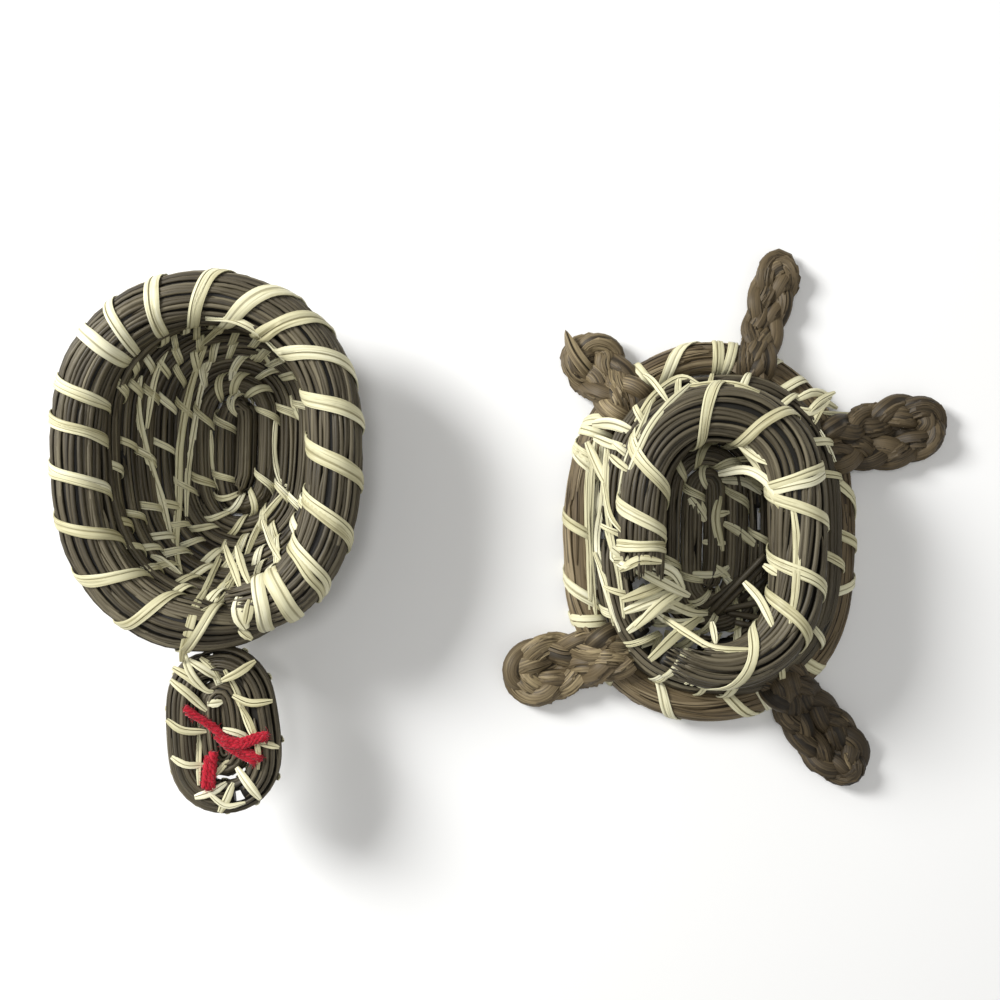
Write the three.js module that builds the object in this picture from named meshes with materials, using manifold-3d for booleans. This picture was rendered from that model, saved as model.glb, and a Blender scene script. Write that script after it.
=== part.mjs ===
// A coiled turtle basket in two halves, laid open side by side with their hollows up.
// The lower half is a small oval basket with a braided foot at each corner and a braided tail.
// The upper half is the shell, a lid that lies on its back beside it, with the head sewn to its rim.
// Millimetres, +Z up. The head end points to -Y, and left is -X.
// The origin is on the table, under the middle of the whole.
import * as THREE from 'three';
import Module from 'manifold-3d';
import { mergeVertices } from 'three/addons/utils/BufferGeometryUtils.js';

const wasm = await Module();
wasm.setup();

// Driving dimensions
const CLEARANCE = 0.3; // between pieces that are sewn against each other
const END_ROUNDNESS = 0.3; // near 0 a row has straight sides and half-circle ends, near 1 an egg's curve
const ROW_ARC = 23; // degrees to either side of a row's crown that its arc is drawn with
const LEAST_THICKNESS = 3; // of the wall, in the crease between two rows

const LID = {
  centre: new THREE.Vector2(-73.4, 9.6),
  floorShift: new THREE.Vector2(3.5, 4), // how far the middle of the floor lies off the middle of the rim
  halfStraight: 9, // half of the straight stretch that the coil starts on
  egg: 0.05, // how much wider the tail end is than the head end
  rowPitch: 5.9,
  rowRadius: 3.4,
  rowCount: 8,
  flatFloor: 13, // how far the floor runs out flat from the straight stretch
  wallReach: 15.5, // how far the wall then curves out
  wallRise: 20.5, // and up
  rim: { offset: 32, height: 29.8, radius: 7.3 },
  segments: 26,
};

const BASE = {
  centre: new THREE.Vector2(56.2, -8.9),
  halfStraight: 12,
  rowPitch: 6.1,
  rowRadius: 3.4,
  rowCount: 4,
  wall: [
    { offset: 25.6, height: 7.6, radius: 5.1 },
    { offset: 22.6, height: 16.2, radius: 4.7 },
    { offset: 19.6, height: 26.2, radius: 6.9 },
  ],
  segments: 26,
};

// The ring coil is broken where the head end meets the left side, and the floor is torn below the break.
const RING_BREAK = { corners: [[27, -23.5], [45, -21.5], [48.5, -29], [38, -46]], from: 20.5, to: 40 };
const FLOOR_TEAR = { corners: [[37.5, -33], [43.5, -31], [47, -36.5], [41, -41]], from: -2, to: 24 };

const FOOT_RING = { offset: 34.8, radius: 4, sides: 8, segments: 30 };

const HEAD = {
  centre: new THREE.Vector2(-68.9, -57.7),
  lean: THREE.MathUtils.degToRad(5),
  height: 26.5,
  egg: -0.06,
  loops: [
    { offset: 9.9, halfStraight: 7.0, radius: 3.9, sides: 8, segments: 22 },
    { offset: 3.7, halfStraight: 6.6, radius: 3.4, sides: 6, segments: 14 },
  ],
};

const BRAID = { strandRadius: 2.4, swing: 2.1, lift: 1.2, pitch: 21, steps: 15, sides: 5 };

// Each limb leaves the foot ring at root and reaches to tip; spread is half the way between its two arms.
const LIMBS = [
  { name: 'tail', root: [69.2, 38.0], tip: [76.3, 68.2], spread: 3.4 },
  { name: 'foot_tail_end_left', root: [33.8, 26.4], tip: [18.4, 45.2], spread: 4.1 },
  { name: 'foot_tail_end_right', root: [88.8, 15.4], tip: [121.6, 20.4], spread: 5.0 },
  { name: 'foot_head_end_left', root: [27.8, -40.0], tip: [-0.6, -49.8], spread: 4.4 },
  { name: 'foot_head_end_right', root: [76.6, -49.4], tip: [97.2, -75.4], spread: 4.2 },
];

const STRAW = new THREE.MeshStandardMaterial({ color: 0x645d4a, roughness: 0.75, metalness: 0 });
const LEAF = new THREE.MeshStandardMaterial({ color: 0x7d674a, roughness: 0.65, metalness: 0 });
const BRAIDED_LEAF = new THREE.MeshStandardMaterial({ color: 0x665641, roughness: 0.6, metalness: 0 });

// A closed geometry as a solid that can be joined and cut
function solidOf(geometry) {
  const bare = geometry.clone();
  bare.deleteAttribute('normal');
  bare.deleteAttribute('uv');
  const merged = mergeVertices(bare, 1e-4);
  return new wasm.Manifold(new wasm.Mesh({
    numProp: 3,
    vertProperties: merged.attributes.position.array,
    triVerts: new Uint32Array(merged.index.array),
  }));
}

function joined(geometries) {
  return geometries.map(solidOf).reduce((whole, next) => whole.add(next));
}

// The outer skin alone: small pockets closed in between strands are filled
function skinOf(solid) {
  return solid.decompose().reduce((best, next) => (next.volume() > best.volume() ? next : best));
}

function meshOf(name, solid, material) {
  const { vertProperties, triVerts } = skinOf(solid).getMesh();
  const geometry = new THREE.BufferGeometry();
  geometry.setAttribute('position', new THREE.BufferAttribute(vertProperties, 3));
  geometry.setIndex(new THREE.BufferAttribute(triVerts, 1));
  geometry.computeVertexNormals();
  const mesh = new THREE.Mesh(geometry, material);
  mesh.name = name;
  return mesh;
}

// Draws a form that is round about the Z axis out into an oval, the way a coil goes round a straight start.
// angles holds the turning angle of each vertex, for forms that have vertices on the axis.
function drawnOval(geometry, { centre, halfStraight, egg = 0 }, angles, shiftAt) {
  const position = geometry.attributes.position;
  for (let i = 0; i < position.count; i += 1) {
    const offset = Math.hypot(position.getX(i), position.getY(i));
    const angle = angles ? angles[i] : Math.atan2(position.getY(i), position.getX(i));
    const sine = Math.sin(angle);
    const endwards = sine * Math.sqrt((1 + END_ROUNDNESS ** 2) / (sine ** 2 + END_ROUNDNESS ** 2));
    const y = offset * sine + halfStraight * endwards;
    const x = offset * Math.cos(angle) * (1 + egg * y / (offset + halfStraight));
    const shift = shiftAt ? shiftAt(position.getZ(i)) : new THREE.Vector2();
    position.setXY(i, centre.x + x + shift.x, centre.y + y + shift.y);
  }
  return geometry;
}

// Half of a bowl of stacked coils, as the outline that is turned round its middle.
// Each row shows an arc of its circle on either side of the wall, and a crease where it meets the next.
function coiledOutline(rows) {
  const outside = [];
  const inside = [];
  const last = rows.length - 1;
  rows.forEach((row, i) => {
    const here = new THREE.Vector2(row.offset, row.height);
    const before = rows[Math.max(i - 1, 0)];
    const after = rows[Math.min(i + 1, last)];
    const along = Math.atan2(after.height - before.height, after.offset - before.offset);
    const pointAt = (degrees) => {
      const angle = along + THREE.MathUtils.degToRad(degrees);
      return new THREE.Vector2(Math.cos(angle), Math.sin(angle)).multiplyScalar(row.radius).add(here);
    };
    if (i === 0) {
      const crown = row.radius * Math.cos(THREE.MathUtils.degToRad(ROW_ARC));
      outside.push(new THREE.Vector2(0, row.height - crown), pointAt(ROW_ARC - 90));
      inside.push(new THREE.Vector2(0, row.height + crown), pointAt(90 - ROW_ARC));
    } else if (i === last) {
      outside.push(...[-110, -75, -38, 0].map(pointAt));
      inside.push(...[110, 75, 38].map(pointAt));
    } else {
      outside.push(pointAt(-90 - ROW_ARC), pointAt(ROW_ARC - 90));
      inside.push(pointAt(90 + ROW_ARC), pointAt(90 - ROW_ARC));
    }
    if (i < last) {
      const next = new THREE.Vector2(after.offset, after.height);
      const between = here.clone().lerp(next, row.radius / (row.radius + after.radius));
      const across = next.clone().sub(here).normalize().rotateAround(new THREE.Vector2(), Math.PI / 2);
      const chord = Math.sqrt(Math.max(row.radius ** 2 - here.distanceTo(between) ** 2, 0));
      const depth = Math.max(chord, LEAST_THICKNESS / 2);
      outside.push(between.clone().addScaledVector(across, -depth));
      inside.push(between.clone().addScaledVector(across, depth));
    }
  });
  outside.forEach((point) => point.setY(Math.max(point.y, 0)));
  return [...outside, ...inside.reverse()];
}

function coiledBowl(rows, shape, shiftAt) {
  const outline = coiledOutline(rows);
  const bowl = new THREE.LatheGeometry(outline, shape.segments);
  bowl.rotateX(Math.PI / 2);
  const angles = [];
  for (let i = 0; i < bowl.attributes.position.count; i += 1) {
    angles.push(Math.floor(i / outline.length) * 2 * Math.PI / shape.segments - Math.PI / 2);
  }
  return drawnOval(bowl, shape, angles, shiftAt);
}

function coilRing({ offset, radius, sides, segments }, shape, height) {
  const ring = new THREE.TorusGeometry(offset, radius, sides, segments);
  return drawnOval(ring, shape).translate(0, 0, height);
}

function prism({ corners, from, to }) {
  const outline = new THREE.Shape(corners.map(([x, y]) => new THREE.Vector2(x, y)));
  const geometry = new THREE.ExtrudeGeometry(outline, { depth: to - from, bevelEnabled: false });
  return solidOf(geometry.translate(0, 0, from));
}

function floorHeight(radius) {
  return radius * Math.cos(THREE.MathUtils.degToRad(ROW_ARC));
}

// The shell: a flat oval floor, a wall that curves up from it, and a thick rim coil
function lidShell() {
  const wallLength = Math.PI / 4 * (LID.wallReach + LID.wallRise);
  const rows = [];
  for (let i = 0; i < LID.rowCount; i += 1) {
    const along = LID.rowPitch * i;
    const climb = THREE.MathUtils.clamp((along - LID.flatFloor) / wallLength, 0, 1) * Math.PI / 2;
    rows.push({
      offset: Math.min(along, LID.flatFloor) + LID.wallReach * Math.sin(climb),
      height: floorHeight(LID.rowRadius) + LID.wallRise * (1 - Math.cos(climb)),
      radius: LID.rowRadius,
    });
  }
  const shiftAt = (z) => LID.floorShift.clone().multiplyScalar(Math.max(0, 1 - z / LID.rim.height));
  return solidOf(coiledBowl([...rows, LID.rim], LID, shiftAt));
}

// The head: one long loop of coil round a short inner one, sewn to the rim
function lidHead() {
  const loops = HEAD.loops.map((loop) => {
    const shape = { centre: new THREE.Vector2(), halfStraight: loop.halfStraight, egg: HEAD.egg };
    const ring = coilRing(loop, shape, 0);
    return ring.rotateZ(HEAD.lean).translate(HEAD.centre.x, HEAD.centre.y, HEAD.height);
  });
  const rim = { ...LID.rim, radius: LID.rim.radius + CLEARANCE, sides: 12, segments: LID.segments * 2 };
  return joined(loops).subtract(solidOf(coilRing(rim, LID, LID.rim.height)));
}

// The basket: a flat floor, a wall that leans in, and the ring coil round its mouth
function baseBasket() {
  const rows = [];
  for (let i = 0; i < BASE.rowCount; i += 1) {
    rows.push({ offset: BASE.rowPitch * i, height: floorHeight(BASE.rowRadius), radius: BASE.rowRadius });
  }
  const bowl = solidOf(coiledBowl([...rows, ...BASE.wall], BASE));
  return bowl.subtract(prism(RING_BREAK)).subtract(prism(FLOOR_TEAR));
}

// The foot ring: a roll of broad leaf round the foot of the basket, which the limbs grow from
function footRing(clearance = 0) {
  const size = { ...FOOT_RING, radius: FOOT_RING.radius + clearance };
  return solidOf(coilRing(size, BASE, FOOT_RING.radius));
}

// A limb: a three-strand braid doubled back on itself
function limb({ root, tip, spread }) {
  const start = new THREE.Vector3(...root, 0);
  const axis = new THREE.Vector3(...tip, 0).sub(start);
  const length = axis.length();
  axis.normalize();
  const across = new THREE.Vector3(-axis.y, axis.x, 0);
  const height = BRAID.strandRadius + BRAID.lift;
  const at = (along, aside) => start.clone()
    .addScaledVector(axis, along)
    .addScaledVector(across, aside * spread)
    .setZ(height);
  const reach = length - BRAID.strandRadius - BRAID.swing;
  const middle = new THREE.CatmullRomCurve3([
    at(-3, 1), at(reach * 0.35, 1.05), at(reach * 0.75, 1), at(reach, 0),
    at(reach * 0.75, -1), at(reach * 0.35, -1.05), at(-3, -1),
  ]);
  const waves = middle.getLength() / BRAID.pitch;
  const corners = [];
  for (let i = 0; i < BRAID.sides; i += 1) {
    const corner = new THREE.Vector2(BRAID.strandRadius, 0);
    corners.push(corner.rotateAround(new THREE.Vector2(), i * 2 * Math.PI / BRAID.sides));
  }
  const section = new THREE.Shape(corners);
  const strands = [0, 1, 2].map((index) => {
    const strand = new THREE.Curve();
    strand.getPoint = (t, target = new THREE.Vector3()) => {
      const phase = 2 * Math.PI * (waves * t + index / 3);
      const aside = middle.getTangentAt(t).cross(new THREE.Vector3(0, 0, 1)).normalize();
      const point = middle.getPointAt(t).addScaledVector(aside, BRAID.swing * Math.sin(phase));
      return target.copy(point).setZ(height + BRAID.lift * Math.sin(2 * phase));
    };
    return new THREE.ExtrudeGeometry(section, { extrudePath: strand, steps: BRAID.steps });
  });
  return joined(strands).subtract(footRing(CLEARANCE));
}

const turtle = new THREE.Group();
turtle.add(
  meshOf('lid_shell', lidShell(), STRAW),
  meshOf('lid_head', lidHead(), STRAW),
  meshOf('base_basket', baseBasket(), STRAW),
  meshOf('foot_ring', footRing(), LEAF),
  ...LIMBS.map((spec) => meshOf(spec.name, limb(spec), BRAIDED_LEAF)),
);

// The origin is under the middle of the whole
const middle = new THREE.Box3().setFromObject(turtle).getCenter(new THREE.Vector3());
turtle.position.set(-middle.x, -middle.y, 0);

export default turtle;
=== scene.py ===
# %% [markdown]
# # A coiled turtle basket, laid open
#
# The basket is coiled: long needles are gathered into a bundle as thick as a finger or a pencil, the
# bundle is wound round and round an oval, and each turn is sewn to the turn before it with flat strips
# of raffia. The shell is a lid. Here it lies on its back, with the head sewn to its rim, beside the lower
# half, which has four braided feet and a braided tail.
#
# Everything visible is a strand of some kind: a needle, a strip of raffia, a rolled leaf or a yarn. So the
# lesson first makes one good tool for strands, and then follows the basket maker: bundles, stitches,
# braids and loose ends. All lengths are in millimetres until a mesh is made of them.

import math

import bpy
import numpy as np
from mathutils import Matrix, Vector
from mathutils.bvhtree import BVHTree

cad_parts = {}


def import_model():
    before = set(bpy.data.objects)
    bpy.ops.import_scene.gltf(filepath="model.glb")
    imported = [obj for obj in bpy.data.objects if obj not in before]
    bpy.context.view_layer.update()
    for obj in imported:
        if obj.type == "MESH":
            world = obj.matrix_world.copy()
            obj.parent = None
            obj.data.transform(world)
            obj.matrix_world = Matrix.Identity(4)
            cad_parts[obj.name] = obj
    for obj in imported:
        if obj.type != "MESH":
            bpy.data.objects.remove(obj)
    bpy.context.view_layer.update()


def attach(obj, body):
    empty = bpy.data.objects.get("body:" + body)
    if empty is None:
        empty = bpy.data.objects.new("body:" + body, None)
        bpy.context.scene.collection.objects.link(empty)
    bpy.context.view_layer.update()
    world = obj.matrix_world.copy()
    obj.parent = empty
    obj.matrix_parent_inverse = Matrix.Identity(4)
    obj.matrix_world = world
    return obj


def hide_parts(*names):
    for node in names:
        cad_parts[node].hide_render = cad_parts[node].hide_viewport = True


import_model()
SEED = 20
random = np.random.default_rng(SEED)  # every draw comes from here, so each run makes the same basket
TURN = 2 * math.pi
MILLIMETRE = 0.001
UPRIGHT = np.array([0, 0, 1.0])
EYE = np.array([-3.9, 5.7, 370.0])  # the place the basket is looked at from
RIM_LEVEL = 30.0  # places that are read off a view from above are given on this level

# %% [markdown]
# ## Strands
#
# A strand is a closed section swept along a path. Curve objects with a bevel can do that, but the basket
# has thousands of needles, and a mesh that is filled from arrays is much quicker to make. The first
# helpers make a section, measure a path, and let a number wander a little, because nothing that grew, or
# was pulled tight by hand, keeps exactly to its line.


# %% Sections, lengths and drift
def circle(sides, width=1.0, height=1.0, start=0.0):
    """A round section: its corners as (side, up) pairs."""
    angle = start + np.arange(sides) / sides * TURN
    return np.stack([np.cos(angle) * width, np.sin(angle) * height], axis=1)


def lengths_along(path):
    steps = np.linalg.norm(np.diff(path, axis=0), axis=1)
    return np.concatenate([[0.0], np.cumsum(steps)])


def unit(vectors):
    return vectors / np.maximum(np.linalg.norm(vectors, axis=-1, keepdims=True), 1e-9)


def smooth(share):
    """Eases a share that goes from 0 to 1, so that it starts and stops gently."""
    return share * share * (3 - 2 * share)


def drift(along, step, amount):
    """A number that wanders smoothly up and down, with a new random value every step millimetres."""
    place = (along - along[0]) / step
    values = random.uniform(-amount, amount, int(place[-1]) + 3)
    knot = place.astype(int)
    ease = smooth(place - knot)
    return values[knot] * (1 - ease) + values[knot + 1] * ease


print("a six-sided needle 1.25 mm thick is", round(np.ptp(circle(6, 0.625, 0.625)[:, 1]), 2), "mm high")

# %% [markdown]
# All strands of one piece are gathered in a Tangle. Each corner also carries three facts for the material.
# "grain" is the place in the strand itself, across it and along it, so that fibres can run lengthwise
# through every bend. "tone" is one number for the whole strand, so that no two needles have quite the same
# colour. "fold" tells how far a corner is from the nearest crease of its strip, or from the crevice beside
# its needle; there the material paints shade.

# %% Sweep a strand
FAR_FROM_FOLDS = 9.0


class Tangle:
    """Strands gathered into one piece."""

    def __init__(self):
        self.corners, self.faces, self.grain, self.tone, self.fold = [], [], [], [], []
        self.count = 0

    def sweep(self, path, up, section, tone, fold=FAR_FROM_FOLDS):
        """Sweeps a section, or one section per point of the path, and closes both ends."""
        path = np.asarray(path, float)
        along = unit(np.gradient(path, axis=0))
        up = np.broadcast_to(up, path.shape)
        up = unit(up - along * np.sum(up * along, axis=1, keepdims=True))
        side = np.cross(along, up)
        steps = len(path)
        section = np.broadcast_to(section, (steps,) + section.shape[-2:])
        sides = section.shape[1]
        corners = path[:, None] + side[:, None] * section[..., :1] + up[:, None] * section[..., 1:]
        length = np.broadcast_to(lengths_along(path)[:, None], (steps, sides))
        elsewhere = random.uniform(0, 500, 3)  # no two strands share their streaks
        grain = np.dstack([section[..., 0], section[..., 1], length]) + elsewhere
        index = self.count + np.arange(steps * sides).reshape(steps, sides)
        after = np.roll(index, -1, axis=1)
        quads = np.stack([index[:-1], index[1:], after[1:], after[:-1]], axis=-1)
        self.faces.append(quads.reshape(-1, 4))
        for end in (index[0], index[-1][::-1]):
            self.faces.append(np.stack([np.full(sides - 2, end[0]), end[1:-1], end[2:]], axis=1))
        self.corners.append(corners.reshape(-1, 3))
        self.grain.append(grain.reshape(-1, 3))
        self.tone.append(np.broadcast_to(tone, (steps, sides)).ravel())
        self.fold.append(np.broadcast_to(fold, (steps, sides)).ravel())
        self.count += steps * sides


print("a corner", FAR_FROM_FOLDS, "from any fold is never darkened by one")

# %% [markdown]
# A mesh can be built from lists, corner by corner, or filled in one go. Filling asks for flat arrays: the
# corners, the corner numbers of all faces one after the other, and where in them each face starts. It is
# used here because a piece has up to a hundred thousand faces. The three facts become attributes, which
# a material can read. What sags below the table, such as the underside of a braid, is pressed flat on it.

# %% A tangle becomes a mesh
TABLE = 0.05 * MILLIMETRE  # the lowest that a strand may lie


def mesh_of(tangle, name, sharp):
    """Edges that turn more than sharp degrees stay sharp. With None every edge is shaded smooth."""
    corners = np.concatenate(tangle.corners) * MILLIMETRE
    corners[:, 2] = np.maximum(corners[:, 2], TABLE)
    sizes = np.concatenate([np.full(len(faces), faces.shape[1]) for faces in tangle.faces])
    loops = np.concatenate([faces.ravel() for faces in tangle.faces])
    mesh = bpy.data.meshes.new(name)
    mesh.vertices.add(len(corners))
    mesh.vertices.foreach_set("co", corners.ravel())
    mesh.loops.add(len(loops))
    mesh.loops.foreach_set("vertex_index", loops)
    mesh.polygons.add(len(sizes))
    mesh.polygons.foreach_set("loop_start", np.concatenate([[0], np.cumsum(sizes)[:-1]]))
    mesh.polygons.foreach_set("loop_total", sizes)
    mesh.update(calc_edges=True)
    grain = mesh.attributes.new("grain", "FLOAT_VECTOR", "POINT")
    grain.data.foreach_set("vector", np.concatenate(tangle.grain).ravel())
    for kind, facts in (("tone", tangle.tone), ("fold", tangle.fold)):
        mesh.attributes.new(kind, "FLOAT", "POINT").data.foreach_set("value", np.concatenate(facts))
    mesh.shade_smooth()
    if sharp:
        mesh.set_sharp_from_angle(angle=math.radians(sharp))
    return mesh


print("the table is", TABLE / MILLIMETRE, "mm under the lowest strands")

# %% [markdown]
# ## Coils
#
# A bundle starts as a short straight piece and is wound round it, so every turn is an oval: nearly
# straight at the sides, round at the ends, and a little fuller at the shoulders. An ellipse is too
# pointed and a rounded rectangle too stiff. So the end of the straight piece is reached early in the
# bend, by a formula with one number for how early.

# %% The oval
FULL_SHOULDERS = 0.09  # a smaller number makes squarer shoulders


class Oval:
    """Turns round a short straight middle. An egg is wider at its +Y end, and lean turns it, in degrees."""

    def __init__(self, centre, half_straight, egg=0.0, lean=0.0):
        self.centre = np.array(centre, float)
        self.half_straight, self.egg, self.lean = half_straight, egg, math.radians(lean)

    def point(self, turn, offset):
        """Turn 0 is at the head end, and a quarter turn on is at +X."""
        angle = TURN * turn - math.pi / 2
        sine = np.sin(angle)
        endwards = sine * np.sqrt((1 + FULL_SHOULDERS) / (sine**2 + FULL_SHOULDERS))
        y = offset * sine + self.half_straight * endwards
        x = offset * np.cos(angle) * (1 + self.egg * y / (offset + self.half_straight))
        c, s = math.cos(self.lean), math.sin(self.lean)
        return self.centre + np.stack([x * c - y * s, x * s + y * c], axis=-1)


print("a turn 10 mm outside a middle of 2 x 9 mm ends at", Oval((0, 0), 9.0).point(0.5, 10.0).round(1))

# %% [markdown]
# A coil is a line that winds outwards from oval to oval. It knows its thickness, and at each point which
# way is out and which way is up. So a needle or a stitch is placed by two numbers, however the coil bends:
# how far along the coil, and at what angle round its section, where 0 is outwards, 90 up and 180 inwards.
# The coil also keeps the places of its stitches, because a tight stitch pulls the needles in.

# %% The middle line of a coil
STEPS_A_TURN = 240
PINCH_REACH = 2.6


def lengths_of(*coils):
    """How long coils are, to the millimetre."""
    return [round(coil.along[-1]) for coil in coils]


class Coil:
    """A line wound round an oval. Its offset, height, radius and shift are functions of the turn."""

    def __init__(self, oval, turns, offset, height, radius, shift=None):
        count = int((turns[1] - turns[0]) * STEPS_A_TURN)
        self.turns = np.linspace(turns[0], turns[1], count)
        plan = oval.point(self.turns, offset(self.turns))
        if shift:
            plan = plan + shift(self.turns)
        self.points = np.column_stack([plan, height(self.turns)])
        self.along = lengths_along(self.points)
        self.radius = radius(self.turns)
        heading = unit(np.gradient(self.points, axis=0))
        self.out = unit(np.cross(heading, UPRIGHT))
        self.up = np.cross(self.out, heading)
        self.pinches = []

    def length_at(self, turn):
        return np.interp(turn, self.turns, self.along)

    def radius_at(self, along):
        return np.interp(along, self.along, self.radius)

    def between(self, values, along):
        return np.stack([np.interp(along, self.along, v) for v in values.T], axis=-1)

    def direction(self, along, angle):
        out, up = self.between(self.out, along), self.between(self.up, along)
        return out * np.cos(angle)[..., None] + up * np.sin(angle)[..., None]

    def squeeze(self, along, angle):
        """How far the stitches pull the surface in."""
        depth = np.zeros_like(along)
        for start, end, pull in self.pinches:
            middle = start + (end - start) * np.clip(angle % TURN / math.pi, 0, 1)
            depth += pull * np.exp(-(((along - middle) / PINCH_REACH) ** 2))
        return depth

    def surface(self, along, angle, lift):
        """Points at an angle round the section, lifted off the surface, and the directions out of it."""
        away = self.direction(along, angle)
        radius = self.radius_at(along) + lift - self.squeeze(along, angle)
        return self.between(self.points, along) + away * radius[..., None], away


print("a coil has", STEPS_A_TURN, "points a turn, and a stitch pulls", 2 * PINCH_REACH, "mm of it in")

# %% [markdown]
# ## Needles
#
# The lower half has holes that the table shows through. A boolean would cut the needles off squarely, and
# slowly. Here the path of each needle is cut instead, into the stretches that leave a hole open when it
# is seen from above. The hole is a little larger or smaller for every needle, so its edge is frayed.


# %% Stop short of the holes
def seen_from_above(points):
    """Where points appear to lie on the level of the rims, when they are seen from the eye."""
    share = (EYE[2] - RIM_LEVEL) / (EYE[2] - points[:, 2:])
    return EYE[:2] + (points[:, :2] - EYE[:2]) * share


def outside_holes(points, holes):
    """The stretches of a path, as slices, that leave the holes open when they are seen from above."""
    x, y = seen_from_above(points).T
    clear = np.ones(len(points), bool)
    for corners in holes:
        corners = np.array(corners)
        middle = corners.mean(axis=0)
        corners = middle + (corners - middle) * random.uniform(0.9, 1.2)
        within = np.zeros(len(points), bool)
        for (ax, ay), (bx, by) in zip(corners, np.roll(corners, -1, axis=0)):
            within ^= ((ay > y) != (by > y)) & (x < (bx - ax) * (y - ay) / (by - ay + 1e-9) + ax)
        clear &= ~within
    edges = np.flatnonzero(np.diff(np.concatenate([[False], clear, [False]])))
    return [slice(a, b) for a, b in edges.reshape(-1, 2) if b - a >= 3]


print("the table at (100, 0) appears at", seen_from_above(np.array([[100.0, 0, 0]]))[0].round(1))

# %% [markdown]
# A bundle is filled the way the maker fills it: as one needle runs out, the next one is pushed in. Each
# needle keeps its place round the section only roughly, lies a little deeper or prouder than its
# neighbours, and dives under them at its ends. Copies of one needle would show their pattern at once, so
# each is swept on its own. Only the outer layer is made: what lies under it can't be seen.

# %% The needles on the surface
NEEDLE_LENGTHS = (60, 150)
SHORTEST_NEEDLE = 6
COARSE_STEP, FINE_STEP = 2.7, 1.8  # the fine step follows the edge of a hole
NO_DIVE = 60  # added to the distance from an end that stays at the surface, where the coil itself ends


def needle_section(thickness):
    """A six-sided section, and how far out of the crevice between needles each corner stands."""
    hexagon = circle(6, thickness / 2, thickness / 2, math.pi / 6)
    # the material paints shade on the corners that lie low, in the crevice between needles
    return hexagon, np.clip(hexagon[:, 1] / thickness * 2 + 0.25, 0, 1)


def pointed(steps, blunt):
    """How thick a needle is at each of its steps: it narrows over the last two or three."""
    step = np.arange(steps)
    return np.clip(blunt + 0.35 * np.minimum(step, step[::-1]), 0, 1)


def surface_needles(tangle, coil, count, thickness, twist, holes, ragged):
    first, last = coil.along[0], coil.along[-1]
    hexagon, crevice = needle_section(thickness)
    for slot in range(count):
        place = (slot + random.uniform(-0.22, 0.22)) / count * TURN
        cursor = first - random.uniform(0, 90)
        while cursor < last - 8:
            length = random.uniform(*NEEDLE_LENGTHS)
            begin = max(cursor, first + random.uniform(0, ragged[0]))
            stop = min(cursor + length, last - random.uniform(0, ragged[1]))
            cursor = stop - random.uniform(1, 7) if cursor + length < last else last
            if stop - begin < SHORTEST_NEEDLE:
                continue
            steps = max(4, int((stop - begin) / (FINE_STEP if holes else COARSE_STEP)))
            along = np.linspace(begin, stop, steps)
            angle = place + twist * (along - first) + drift(along, 32, 0.15) + random.uniform(-0.07, 0.07)
            from_end = np.minimum(
                along - begin + (NO_DIVE if begin < first + ragged[0] + 0.01 else 0),
                stop - along + (NO_DIVE if stop > last - ragged[1] - 0.01 else 0),
            )
            dive = np.exp(-from_end / 2.0)
            depth = random.uniform(-0.5, 0.0) + drift(along, 22, 0.16) - dive * 1.1
            points, away = coil.surface(along, angle, depth - thickness / 2)
            girth = random.uniform(0.8, 1.2) * (1 - 0.45 * dive) * (1 + drift(along, 18, 0.06))
            tone = random.uniform(0.2, 1.0)
            for clear in outside_holes(points, holes):
                size = girth[clear] * pointed(clear.stop - clear.start, 0.25)
                tangle.sweep(points[clear], away[clear], hexagon * size[:, None, None], tone, crevice)


print("needles are", NEEDLE_LENGTHS, "mm long, and their ends narrow as", pointed(6, 0.25))

# %% [markdown]
# Where a coil ends, the inside of the bundle shows too: a brush of needle ends. Everywhere else a plain
# core fills it, painted dark as shade, so that the gaps between needles look deep and not empty. The core
# tapers and stops short of a ragged end, or it would show as a black ball in the brush.

# %% The inside of a bundle
BRUSH_SHARE = 0.9  # needles inside, for each needle on the surface
BRUSH_STEPS = 9
BRUSH_REACH = 16


def needle_brush(tangle, coil, count, thickness, holes, end, heading, ragged):
    """Needles inside a bundle, for a few millimetres from one end of the coil."""
    hexagon, crevice = needle_section(thickness)
    size = pointed(BRUSH_STEPS, 0.3)
    for _ in range(int(count * BRUSH_SHARE)):
        inwards = np.linspace(random.uniform(0, ragged), ragged + BRUSH_REACH, BRUSH_STEPS)
        along = np.sort(end + heading * inwards)
        angle = random.uniform(0, TURN) + drift(along, 12, 0.1)
        inner = coil.radius_at(along) * random.uniform(0.12, 0.85) ** 0.6
        away = coil.direction(along, angle)
        middle = coil.between(coil.points, along) + away * (inner - thickness / 2)[:, None]
        for clear in outside_holes(middle, holes):
            tone = random.uniform(0.15, 0.8)
            tangle.sweep(middle[clear], away[clear], hexagon * size[clear, None, None], tone, crevice)


def painted_shade_core(tangle, coil, thickness, holes, ragged):
    first, last = coil.along[0], coil.along[-1]
    inset = [reach * 1.2 + 3 if reach else 0 for reach in ragged]
    along = np.linspace(first + inset[0], last - inset[1], int((last - first) / 1.5))
    inside = coil.radius_at(along) - thickness * 0.95
    inside *= np.sqrt(np.clip(np.minimum(along - along[0], along[-1] - along) / 9, 0.01, 1))
    centre = coil.between(coil.points, along)
    up = coil.between(coil.up, along)
    for clear in outside_holes(centre, holes):
        # tone 0 gives the core the dark colour: painted shade inside the bundle
        tangle.sweep(centre[clear], up[clear], circle(12)[None] * inside[clear, None, None], 0.0)


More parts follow.
